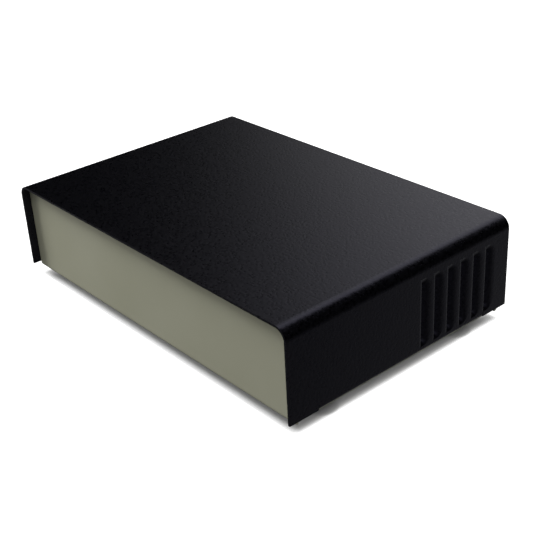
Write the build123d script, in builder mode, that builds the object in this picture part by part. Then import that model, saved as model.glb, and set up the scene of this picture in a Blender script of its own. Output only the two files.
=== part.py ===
from build123d import *
import os

os.makedirs("parts", exist_ok=True)

# A low desktop project enclosure in two folded sheets. A black cover closes over a U-shaped
# chassis, whose ends are the front and rear panels. The cover's sides turn in under themselves
# as flanges, and screws from below draw clip nuts on those flanges down on the chassis plate.
# Millimetres. The front faces -Y, up is +Z, and the feet stand on Z = 0 under the middle.

# Cover, one folded sheet
cover_width = 228.6
cover_depth = 153.4
cover_height = 50.8
cover_sheet = 1.2
cover_bend = 6.5
flange_bend = 1.5
flange_width = 15.0
hood_length = 18.4
relief_slit = 0.4
relief_height = 3.0

# Louvres, pressed inwards in both side walls, each deepest at its slit, which faces the front
louvre_count = 6
louvre_pitch = 9.63
louvre_reach = 7.5
louvre_depth = 2.2
louvre_end = 4.0
louvre_corner = 5.6
louvre_floor = 0.5
louvre_rear_margin = 10.5
louvre_top_margin = 3.4
louvre_foot_margin = 1.3
slit_roll = 1.0
slit_roll_depth = 0.15

# Chassis, one folded sheet
chassis_sheet = 1.6
chassis_bend = 2.0
panel_recess = 4.5
panel_gap = 0.4
plate_inset = 3.1

# Clip nuts of spring steel, pushed on the flanges
clip_sheet = 1.0
clip_width = 9.0
clip_lower_leg = 10.4
clip_upper_leg = 9.2
clip_clearance = 0.6
collar_radius = 3.1
collar_height = 1.4

# Cover screws, M4 pan head
cover_screw_radius = 2.0
cover_screw_head_radius = 4.0
cover_screw_head_height = 2.4
cover_screw_projection = 1.0
cover_screw_inset = 9.3
cover_screw_setback = 28.7
thread_clearance = 0.06
clip_hole_clearance = 0.3
plate_hole_clearance = 0.25
flange_hole_clearance = 0.6

# Feet of moulded rubber, each with its own M3 pan head screw and hexagon nut
foot_height = 5.0
foot_radius = 7.5
foot_taper = 0.9
foot_rounding = 0.8
foot_recess_radius = 3.8
foot_web = 1.6
foot_inset = 23.0
foot_screw_radius = 1.5
foot_screw_head_radius = 2.8
foot_screw_head_height = 1.9
foot_screw_projection = 0.8
foot_hole_clearance = 0.2
nut_across_flats = 5.5
nut_height = 2.4
nut_clearance = 0.03

# Rounding and cross recess of the screw heads, as shares of the head
head_rounding = 0.6
recess_span = 0.95
recess_slot = 0.24
recess_depth = 0.55

# Heights and half sizes that follow
half_width = cover_width / 2
half_depth = cover_depth / 2
plate_bottom = foot_height
plate_top = plate_bottom + chassis_sheet
cover_bottom = plate_top + clip_sheet
cover_top = cover_bottom + cover_height
flange_top = cover_bottom + cover_sheet
flange_edge = half_width - flange_width
panel_face = half_depth - panel_recess
panel_half_width = half_width - cover_sheet - panel_gap
panel_top = cover_top - cover_sheet - panel_gap
cover_screw_x = half_width - cover_screw_inset
cover_screw_y = half_depth - cover_screw_setback
foot_x = half_width - foot_inset
foot_y = half_depth - foot_inset

CORNERS = {
    "front_left": (-1, -1),
    "front_right": (1, -1),
    "rear_left": (-1, 1),
    "rear_right": (1, 1),
}


def save(piece, name):
    """Names a finished piece and writes it to its own file."""
    piece.label = name
    export_step(piece, f"parts/{name}.step")


def folded_section(points, radii, sheet):
    """Section of a folded sheet: the points run along its outer face, clockwise."""
    with BuildSketch() as section:
        with BuildLine():
            FilletPolyline(*points, radius=radii)
            offset(amount=sheet, side=Side.RIGHT, closed=True)
        make_face()
    return section.sketch


def louvre_outline(share):
    """Outline of a louvre at a share of its depth: square at the slit, rounded behind."""
    reach = louvre_floor + (louvre_reach - louvre_floor) * (1 - share**0.4)
    corner = louvre_corner * reach / louvre_reach
    end = louvre_half_length - louvre_end * share
    with BuildSketch() as outline:
        with Locations((reach / 2, 0)):
            Rectangle(reach, 2 * end)
        fillet(outline.vertices().group_by(Axis.X)[-1], radius=corner)
    return outline.sketch


# Cover: a closed section with flanges in the middle, and plain hoods at both ends
wall_foot = (half_width, cover_bottom)
wall_head = (half_width, cover_top)
hood_path = [(-half_width, cover_bottom), (-half_width, cover_top), wall_head, wall_foot]
flanged_path = [(-flange_edge, cover_bottom), *hood_path, (flange_edge, cover_bottom)]
flanged_radii = [flange_bend, cover_bend, cover_bend, flange_bend]

# One louvre's hollow, stacked inwards from the wall's outer face with its slit at Y = 0
wall_flat_top = cover_top - cover_bend
wall_flat_bottom = cover_bottom + flange_bend
louvre_top = wall_flat_top - louvre_top_margin
louvre_bottom = wall_flat_bottom + louvre_foot_margin
louvre_half_length = (louvre_top - louvre_bottom) / 2
louvre_middle = (louvre_top + louvre_bottom) / 2
last_slit = half_depth - louvre_rear_margin - louvre_reach

with BuildPart() as louvre_form:
    for share in (0, 0.02, 0.08, 0.2, 0.4, 0.7, 1):
        with BuildSketch(Plane.YZ.offset(half_width - share * louvre_depth)):
            with Locations((0, louvre_middle)):
                add(louvre_outline(share))
    loft()
    # The shearing rolls the wall's edge in a little along the slit
    with BuildSketch(Plane.XY.offset(louvre_bottom)):
        with BuildLine():
            roll_radius = (slit_roll**2 + slit_roll_depth**2) / (2 * slit_roll_depth)
            roll_start = (half_width, -slit_roll)
            roll_end = (half_width - slit_roll_depth, 0)
            Polyline(roll_start, (half_width, 0), roll_end)
            RadiusArc(roll_end, roll_start, roll_radius)
        make_face()
    extrude(amount=2 * louvre_half_length)

with BuildPart() as cover:
    with BuildSketch(Plane.XZ.offset(half_depth - hood_length)):
        add(folded_section(flanged_path, flanged_radii, cover_sheet))
    extrude(amount=2 * hood_length - cover_depth)
    for hood_start in (half_depth, hood_length - half_depth):
        with BuildSketch(Plane.XZ.offset(hood_start)):
            add(folded_section(hood_path, [cover_bend, cover_bend], cover_sheet))
        extrude(amount=-hood_length)
    # Slits that free the flange bends from the hoods
    slit_y = half_depth - hood_length + relief_slit / 2
    with Locations(Plane.XY.offset(cover_bottom)):
        with GridLocations(2 * half_width - cover_sheet, 2 * slit_y, 2, 2):
            Box(2 * cover_sheet, relief_slit, 2 * relief_height, mode=Mode.SUBTRACT)
    # Louvres: the hollow's form is added one sheet further in, and then the hollow is taken away
    for index in range(louvre_count):
        slit = last_slit - index * louvre_pitch
        hollow = Pos(0, slit, 0) * louvre_form.part
        backing = Pos(-cover_sheet, slit, 0) * louvre_form.part
        add([backing, mirror(backing, about=Plane.YZ)])
        add([hollow, mirror(hollow, about=Plane.YZ)], mode=Mode.SUBTRACT)
    # Holes of the cover screws in the flanges
    with Locations(Plane.XY.offset(cover_bottom)):
        with GridLocations(2 * cover_screw_x, 2 * cover_screw_y, 2, 2):
            Cylinder(
                cover_screw_radius + flange_hole_clearance,
                2 * cover_sheet + flange_bend,
                mode=Mode.SUBTRACT,
            )
save(cover.part, "cover")

# Chassis: the panels are a little wider than the plate, and their bends keep that width
chassis_path = [
    (panel_face, panel_top),
    (panel_face, plate_bottom),
    (-panel_face, plate_bottom),
    (-panel_face, panel_top),
]
plate_half_width = half_width - plate_inset
plate_half_depth = panel_face - chassis_bend

with BuildPart() as chassis:
    with BuildSketch(Plane.YZ.offset(-panel_half_width)):
        add(folded_section(chassis_path, [chassis_bend, chassis_bend], chassis_sheet))
    extrude(amount=2 * panel_half_width)
    # The panels' upper corners follow the cover's bends
    upper_corners = chassis.edges().filter_by(Axis.Y).group_by(Axis.Z)[-1]
    fillet(upper_corners, radius=cover_bend - cover_sheet - panel_gap)
    # The plate steps in along both sides
    step = panel_half_width - plate_half_width
    with Locations(Plane.XY.offset(plate_bottom)):
        with GridLocations(2 * panel_half_width - step, 0, 2, 1):
            Box(step, 2 * plate_half_depth, 4 * chassis_sheet, mode=Mode.SUBTRACT)
    with Locations(Plane.XY.offset(plate_top)):
        with GridLocations(2 * cover_screw_x, 2 * cover_screw_y, 2, 2):
            Hole(cover_screw_radius + plate_hole_clearance)
        with GridLocations(2 * foot_x, 2 * foot_y, 2, 2):
            Hole(foot_screw_radius + foot_hole_clearance)
save(chassis.part, "chassis")


def pan_head_screw(head_radius, head_height, shank_radius, shank_length):
    """Pan head screw with a cross recess: head below Z = 0, shank above it."""
    with BuildPart() as screw:
        Cylinder(head_radius, head_height, align=(Align.CENTER, Align.CENTER, Align.MAX))
        rim = screw.edges().filter_by(GeomType.CIRCLE).sort_by(Axis.Z)[0]
        fillet(rim, radius=head_rounding * head_height)
        with Locations((0, 0, -head_height)):
            span = recess_span * head_radius
            slot = recess_slot * head_radius
            depth = recess_depth * head_height
            Box(span, slot, 2 * depth, mode=Mode.SUBTRACT)
            Box(slot, span, 2 * depth, mode=Mode.SUBTRACT)
        Cylinder(shank_radius, shank_length, align=(Align.CENTER, Align.CENTER, Align.MIN))
        tip = screw.edges().filter_by(GeomType.CIRCLE).sort_by(Axis.Z)[-1]
        chamfer(tip, length=shank_radius / 5)
    return screw.part


# Clip nut, drawn on the right-hand flange: two legs round its edge, a collar on the upper one
clip_upper_top = flange_top + clip_sheet
collar_top = clip_upper_top + collar_height
clip_bend = clip_sheet + 0.4 * cover_sheet
clip_back = flange_edge - clip_clearance - clip_sheet
clip_path = [
    (flange_edge + clip_lower_leg, plate_top),
    (clip_back, plate_top),
    (clip_back, clip_upper_top),
    (flange_edge + clip_upper_leg, clip_upper_top),
]

with BuildPart() as clip_nut:
    with BuildSketch(Plane.XZ.offset(-clip_width / 2)):
        add(folded_section(clip_path, [clip_bend, clip_bend], clip_sheet))
    extrude(amount=clip_width)
    outer_ends = clip_nut.edges().filter_by(Axis.Z).group_by(Axis.X)[-1]
    fillet(outer_ends, radius=clip_width / 5)
    with Locations((cover_screw_x, 0, clip_upper_top)):
        Cylinder(
            collar_radius, collar_height, align=(Align.CENTER, Align.CENTER, Align.MIN)
        )
        Cylinder(
            cover_screw_radius + thread_clearance,
            2 * (collar_height + clip_sheet),
            mode=Mode.SUBTRACT,
        )
    with Locations((cover_screw_x, 0, plate_top)):
        Cylinder(cover_screw_radius + clip_hole_clearance, 2.5 * clip_sheet, mode=Mode.SUBTRACT)

cover_screw = pan_head_screw(
    cover_screw_head_radius,
    cover_screw_head_height,
    cover_screw_radius,
    collar_top + cover_screw_projection - plate_bottom,
)

# Foot: a tapered round pad, recessed from below for its screw's head
with BuildPart() as foot:
    with BuildSketch(Plane.XZ):
        with BuildLine():
            Polyline(
                (foot_screw_radius + foot_hole_clearance, foot_height),
                (foot_radius, foot_height),
                (foot_radius - foot_taper, 0),
                (foot_recess_radius, 0),
                (foot_recess_radius, foot_height - foot_web),
                (foot_screw_radius + foot_hole_clearance, foot_height - foot_web),
                close=True,
            )
        make_face()
    revolve(axis=Axis.Z)
    ground_edges = foot.edges().filter_by(GeomType.CIRCLE).group_by(Axis.Z)[0]
    fillet(ground_edges.sort_by(SortBy.RADIUS)[-1], radius=foot_rounding)

foot_screw = pan_head_screw(
    foot_screw_head_radius,
    foot_screw_head_height,
    foot_screw_radius,
    foot_web + chassis_sheet + nut_height + foot_screw_projection,
)

with BuildPart() as foot_nut:
    with BuildSketch(Plane.XY.offset(plate_top)):
        RegularPolygon(nut_across_flats / 2, 6, major_radius=False)
    extrude(amount=nut_height)
    with BuildSketch(Plane.XZ):
        with BuildLine():
            nut_corner = nut_across_flats / 3**0.5
            Polyline(
                (nut_across_flats / 2, plate_top + nut_height),
                (nut_corner, plate_top + 0.8 * nut_height),
                (nut_corner, plate_top + nut_height),
                close=True,
            )
        make_face()
    revolve(axis=Axis.Z, mode=Mode.SUBTRACT)
    with Locations((0, 0, plate_top)):
        Cylinder(foot_screw_radius + nut_clearance, 3 * nut_height, mode=Mode.SUBTRACT)

for corner, (side, end) in CORNERS.items():
    turn = 0 if side > 0 else 180
    clip_place = Pos(0, end * cover_screw_y, 0) * Rot(0, 0, turn)
    cover_screw_place = Pos(side * cover_screw_x, end * cover_screw_y, plate_bottom)
    foot_place = Pos(side * foot_x, end * foot_y, 0)
    foot_screw_place = foot_place * Pos(0, 0, foot_height - foot_web)
    save(clip_place * clip_nut.part, f"clip_nut_{corner}")
    save(cover_screw_place * cover_screw, f"cover_screw_{corner}")
    save(foot_place * foot.part, f"foot_{corner}")
    save(foot_screw_place * foot_screw, f"foot_screw_{corner}")
    save(foot_place * foot_nut.part, f"foot_nut_{corner}")
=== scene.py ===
import bpy
import math
import numpy as np
from mathutils import Matrix, Vector

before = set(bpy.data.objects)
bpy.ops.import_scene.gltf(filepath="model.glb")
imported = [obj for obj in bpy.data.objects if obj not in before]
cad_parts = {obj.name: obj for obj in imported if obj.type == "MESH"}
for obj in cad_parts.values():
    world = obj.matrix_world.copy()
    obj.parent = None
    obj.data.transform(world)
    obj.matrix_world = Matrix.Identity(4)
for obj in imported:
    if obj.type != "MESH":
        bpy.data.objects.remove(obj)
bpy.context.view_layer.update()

# Metres. The case's front faces -Y, up is +Z, and the floor is at Z = 0.
MM = 0.001

# The photograph's view of the case
VIEW_AZIMUTH = math.radians(50.70)
VIEW_ELEVATION = math.radians(28.066)
VIEW_ROLL = math.radians(-3.366)
VIEW_DISTANCE = 617.9 * MM
VIEW_TARGET = Vector((-9.02, 16.15, 7.87)) * MM
VIEW_LENS = 72.30
VIEW_SENSOR = 36.0


def linear(hex_colour):
    """Linear RGBA of an sRGB hex colour."""
    channels = [int(hex_colour[i:i + 2], 16) / 255 for i in (1, 3, 5)]
    curve = [c / 12.92 if c <= 0.04045 else ((c + 0.055) / 1.055) ** 2.4 for c in channels]
    return (*curve, 1.0)


def add_node(tree, kind, inputs=None, stops=(), **settings):
    """Adds a node with its settings. Each input is set, or linked where it is a node or a socket.

    An input goes by its name, or by its number where the node has the name more than once. A Mix
    node mixes its values 2 and 3 or its colours 6 and 7 by its input 0, and a mixed colour leaves
    by its output 2. The stops are a ramp's places, from 0 to 1, and their colours.
    """
    node = tree.nodes.new(kind)
    for name, value in settings.items():
        setattr(node, name, value)
    for name, value in (inputs or {}).items():
        if isinstance(value, bpy.types.Node):
            value = value.outputs[0]
        if isinstance(value, bpy.types.NodeSocket):
            tree.links.new(value, node.inputs[name])
        else:
            node.inputs[name].default_value = value
    # A ramp comes with two stops, and the places are given in their order
    for place, _ in stops[2:]:
        node.color_ramp.elements.new(place)
    for number, (place, colour) in enumerate(stops):
        node.color_ramp.elements[number].position = place
        node.color_ramp.elements[number].color = colour
    return node


# Most of a noise's values lie between these two
NOISE_LOW = 0.3
NOISE_HIGH = 0.7


def mottled_surface(name, mottle, colours, gloss, relief, metallic=0.0, tint=(1, 1, 1)):
    """A surface whose colour and roughness drift with its mottle, and which its relief bumps.

    The mottle is the size of its lumps in millimetres and their octaves. The colours and the gloss,
    which is the roughness, run from their low to their high value over the middle of the noise.
    Each layer of the relief is the size of its lumps, their octaves, their depth in millimetres and
    the strength. A layer bumps the surface that the one before it leaves.
    """
    material = bpy.data.materials.new(name)
    material.use_nodes = True
    tree = material.node_tree
    tree.nodes.clear()
    place = add_node(tree, "ShaderNodeTexCoord").outputs["Object"]

    size, octaves = mottle
    lumps = add_node(tree, "ShaderNodeTexNoise",
                     {"Vector": place, "Scale": 1 / (size * MM), "Detail": octaves})
    colour = add_node(
        tree, "ShaderNodeValToRGB", {"Fac": lumps},
        stops=((NOISE_LOW, linear(colours[0])), (NOISE_HIGH, linear(colours[1]))))
    roughness = add_node(tree, "ShaderNodeMapRange",
                         {"Value": lumps, "From Min": NOISE_LOW, "From Max": NOISE_HIGH,
                          "To Min": gloss[0], "To Max": gloss[1]})
    shader = add_node(tree, "ShaderNodeBsdfPrincipled",
                      {"Base Color": colour, "Roughness": roughness, "Metallic": metallic,
                       "Specular Tint": (*tint, 1)})

    below = {}
    for size, octaves, depth, strength in relief:
        height = add_node(tree, "ShaderNodeTexNoise",
                          {"Vector": place, "Scale": 1 / (size * MM), "Detail": octaves})
        below["Normal"] = add_node(tree, "ShaderNodeBump",
                                   {"Height": height, "Distance": depth * MM, "Strength": strength,
                                    **below})
    tree.links.new(below["Normal"].outputs[0], shader.inputs["Normal"])
    add_node(tree, "ShaderNodeOutputMaterial", {"Surface": shader})
    return material


def black_textured_powder_coat():
    """Polyester powder coat, fine texture: baked grains give a soft sheen with a faint sparkle.

    The grain is about 0.5 mm across and is drawn at 1.4 mm, the least that shows at this distance.
    Under it lie slow waves of film thickness, and its reflections carry a painted cool tint that
    stands in for the bluish light round the case.
    """
    return mottled_surface(
        "black_textured_powder_coat", mottle=(1.4, 1), colours=("#010102", "#050506"),
        # The tint is a painted cool tint on the reflections, for the bluish light round the case
        gloss=(0.26, 0.36), relief=((12, 1, 0.02, 0.5), (1.4, 1, 0.08, 0.8)), tint=(0.70, 0.68, 1))


def olive_beige_enamel():
    """Stoving enamel, satin and smooth, with the faintest orange peel over a slow drift of tone."""
    return mottled_surface(
        "olive_beige_enamel", mottle=(40, 2), colours=("#a0a08c", "#a4a491"), gloss=(0.42, 0.48),
        relief=((1.6, 1, 0.006, 0.5),))


def phosphated_spring_steel():
    """Hardened strip with an oiled phosphate coat: dark, dull grey, with a crystal mottle."""
    return mottled_surface(
        "phosphated_spring_steel", mottle=(0.5, 3), colours=("#2e2c2a", "#474542"),
        gloss=(0.45, 0.6), relief=((0.5, 3, 0.01, 0.5),), metallic=0.8)


def black_zinc_plate():
    """Black passivated zinc on steel: a dark metal sheen, mottled a little by the bath."""
    return mottled_surface(
        "black_zinc_plate", mottle=(1.2, 3), colours=("#1d1d20", "#2c2c30"), gloss=(0.34, 0.44),
        relief=((1.2, 3, 0.004, 0.5),), metallic=1.0)


def bright_zinc_plate():
    """Bright zinc on steel: a clear metal sheen, mottled a little by the bath."""
    return mottled_surface(
        "bright_zinc_plate", mottle=(1.2, 3), colours=("#b9bcc0", "#cdd0d3"), gloss=(0.24, 0.34),
        relief=((1.2, 3, 0.004, 0.5),), metallic=1.0)


def moulded_rubber():
    """Moulded rubber: matt, very dark grey, with the mould's blasted grain and a slight bloom."""
    return mottled_surface(
        "moulded_rubber", mottle=(5, 2), colours=("#1b1b1b", "#242423"), gloss=(0.7, 0.82),
        relief=((0.4, 2, 0.02, 0.7),))


# Finishes by how a node's name starts. Every node takes the one with the longest start.
finishes = {
    "cover": black_textured_powder_coat(),
    "chassis": olive_beige_enamel(),
    "clip_nut": phosphated_spring_steel(),
    "cover_screw": black_zinc_plate(),
    "foot_screw": bright_zinc_plate(),
    "foot": moulded_rubber(),
}
finishes["foot_nut"] = finishes["foot_screw"]
for name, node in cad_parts.items():
    kind = max((start for start in finishes if name.startswith(start)), key=len)
    for material_slot in node.material_slots:
        material_slot.material = finishes[kind]


# Floor: its half width in metres, its own glow, and its colours to light and to the camera
FLOOR_REACH = 6
FLOOR_GLOW = 0.93
FLOOR_TO_LIGHT = "#6a6a6a"
FLOOR_TO_CAMERA = "#bcbcbc"
# The floor's glow is darkened where something lies within this reach of it, by this power: a
# painted contact shadow
CONTACT_REACH = 5.7 * MM
CONTACT_DEPTH = 11


def pale_paper():
    """Sheet of paper, white to the camera and mid grey to the light that it throws on the case.

    Its glow fades close round whatever stands on it: a narrow contact shadow painted into the glow.
    """
    material = bpy.data.materials.new("pale_paper")
    material.use_nodes = True
    tree = material.node_tree
    tree.nodes.clear()
    camera_ray = add_node(tree, "ShaderNodeLightPath").outputs["Is Camera Ray"]
    colour = add_node(
        tree, "ShaderNodeMix",
        {0: camera_ray, 6: linear(FLOOR_TO_LIGHT), 7: linear(FLOOR_TO_CAMERA)}, data_type="RGBA")
    opening = add_node(tree, "ShaderNodeAmbientOcclusion", {"Distance": CONTACT_REACH})
    # Painted contact shadow: the glow falls with this power of how open the floor is
    painted_contact_shadow = add_node(tree, "ShaderNodeMath", {0: opening.outputs["AO"], 1: CONTACT_DEPTH},
                       operation="POWER")
    glow = add_node(tree, "ShaderNodeMath", {0: painted_contact_shadow, 1: camera_ray}, operation="MULTIPLY")
    glow = add_node(tree, "ShaderNodeMath", {0: glow, 1: FLOOR_GLOW}, operation="MULTIPLY")
    shader = add_node(tree, "ShaderNodeBsdfPrincipled",
                      {"Base Color": colour.outputs[2], "Emission Color": (1, 1, 1, 1),
                       "Emission Strength": glow, "Roughness": 1, "Specular IOR Level": 0})
    add_node(tree, "ShaderNodeOutputMaterial", {"Surface": shader})
    return material


corners = np.array([(-1, -1, 0), (1, -1, 0), (1, 1, 0), (-1, 1, 0)]) * FLOOR_REACH
floor_mesh = bpy.data.meshes.new("floor")
floor_mesh.from_pydata(corners.tolist(), [], [(0, 1, 2, 3)])
floor_mesh.materials.append(pale_paper())
floor = bpy.data.objects.new("floor", floor_mesh)
floor.visible_glossy = False
bpy.context.scene.collection.objects.link(floor)


# Lamps, with their places and sizes in metres, turned to one point inside the case
AIM = Vector((0, 0, 20)) * MM


def softbox(name, centre, width, height, power):
    """Rectangular area lamp turned to the case, left out of its reflections."""
    light = bpy.data.lights.new(name, "AREA")
    light.shape = "RECTANGLE"
    light.size = width
    light.size_y = height
    light.energy = power
    lamp = bpy.data.objects.new(name, light)
    lamp.location = centre
    lamp.rotation_euler = (AIM - Vector(centre)).to_track_quat("-Z", "Y").to_euler()
    lamp.visible_glossy = False
    bpy.context.scene.collection.objects.link(lamp)


softbox("key_lamp", (-1.40, -0.60, 0.80), width=0.6, height=1.2, power=32)
softbox("front_lamp", (0.10, -0.60, 1.60), width=1.0, height=0.8, power=16)
softbox("rear_lamp", (0.75, 1.50, 1.20), width=1.6, height=1.2, power=40)

# World: white to the camera, a plain soft level for the light on the case, and in reflections a
# room that is white in front, dims to about half at the sides, and is black behind the case but
# for one white window a little to its left. The room's floor is dark, and darkest at the sides.
# Each level is given with its bearing, in degrees to the right of the rear.
SKY_ROUND = ((-180, 1), (-140, 1), (-110, 0.4), (-78, 0), (-53, 0), (-35, 1), (-5, 1), (13, 0),
             (70, 0), (95, 0.4), (115, 0.5), (135, 1), (180, 1))
GROUND_ROUND = ((-180, 0.3), (-150, 0.06), (-95, 0.06), (-40, 0.3), (30, 0.21), (42, 0.12),
                (50, 0.078), (62, 0.04), (125, 0.035), (150, 0.3), (180, 0.3))
# The room's floor passes into its walls between these heights, in degrees above the horizon
HORIZON = (-24, -10)
SOFT_LEVEL = 0.07


def room_in_reflections(tree):
    """Level that a reflected ray sees: a ramp round the sky and one round the ground, blended."""
    coordinates = add_node(tree, "ShaderNodeTexCoord")
    ray = add_node(tree, "ShaderNodeSeparateXYZ", {"Vector": coordinates.outputs["Generated"]})
    bearing = add_node(tree, "ShaderNodeMath", {0: ray.outputs["X"], 1: ray.outputs["Y"]},
                       operation="ARCTAN2")
    turn = add_node(tree, "ShaderNodeMapRange",
                    {"Value": bearing, "From Min": -math.pi, "From Max": math.pi})
    sky, ground = [
        add_node(tree, "ShaderNodeValToRGB", {"Fac": turn},
                 stops=[((degrees + 180) / 360, (level, level, level, 1))
                        for degrees, level in levels])
        for levels in (SKY_ROUND, GROUND_ROUND)
    ]
    height = add_node(tree, "ShaderNodeMath", {0: ray.outputs["Z"]}, operation="ARCSINE")
    share = add_node(tree, "ShaderNodeMapRange",
                     {"Value": height, "From Min": math.radians(HORIZON[0]),
                      "From Max": math.radians(HORIZON[1])}, interpolation_type="SMOOTHSTEP")
    return add_node(tree, "ShaderNodeMix", {0: share, 2: ground, 3: sky}, data_type="FLOAT")


def studio():
    """World that each kind of ray sees at its own level."""
    world = bpy.data.worlds.new("studio")
    world.use_nodes = True
    tree = world.node_tree
    tree.nodes.clear()
    rays = add_node(tree, "ShaderNodeLightPath")
    room = room_in_reflections(tree)
    level = add_node(tree, "ShaderNodeMix",
                     {0: rays.outputs["Is Glossy Ray"], 2: SOFT_LEVEL, 3: room}, data_type="FLOAT")
    for seen_white in ("Is Camera Ray", "Is Transmission Ray"):
        level = add_node(tree, "ShaderNodeMath", {0: level, 1: rays.outputs[seen_white]},
                         operation="MAXIMUM")
    light = add_node(tree, "ShaderNodeBackground", {"Color": (1, 1, 1, 1), "Strength": level})
    add_node(tree, "ShaderNodeOutputWorld", {"Surface": light})
    return world


bpy.context.scene.world = studio()

# Camera
backward = Vector((
    math.sin(VIEW_AZIMUTH) * math.cos(VIEW_ELEVATION),
    -math.cos(VIEW_AZIMUTH) * math.cos(VIEW_ELEVATION),
    math.sin(VIEW_ELEVATION),
))
level_right = Vector((0, 0, 1)).cross(backward).normalized()
level_up = backward.cross(level_right)
right = math.cos(VIEW_ROLL) * level_right + math.sin(VIEW_ROLL) * level_up
up = backward.cross(right)
camera_data = bpy.data.cameras.new("camera")
camera_data.sensor_width = VIEW_SENSOR
camera_data.lens = VIEW_LENS
camera = bpy.data.objects.new("camera", camera_data)
place = Matrix.Translation(VIEW_TARGET + backward * VIEW_DISTANCE)
camera.matrix_world = place @ Matrix((right, up, backward)).transposed().to_4x4()
bpy.context.scene.collection.objects.link(camera)
bpy.context.scene.camera = camera
bpy.context.scene.view_settings.view_transform = "Standard"
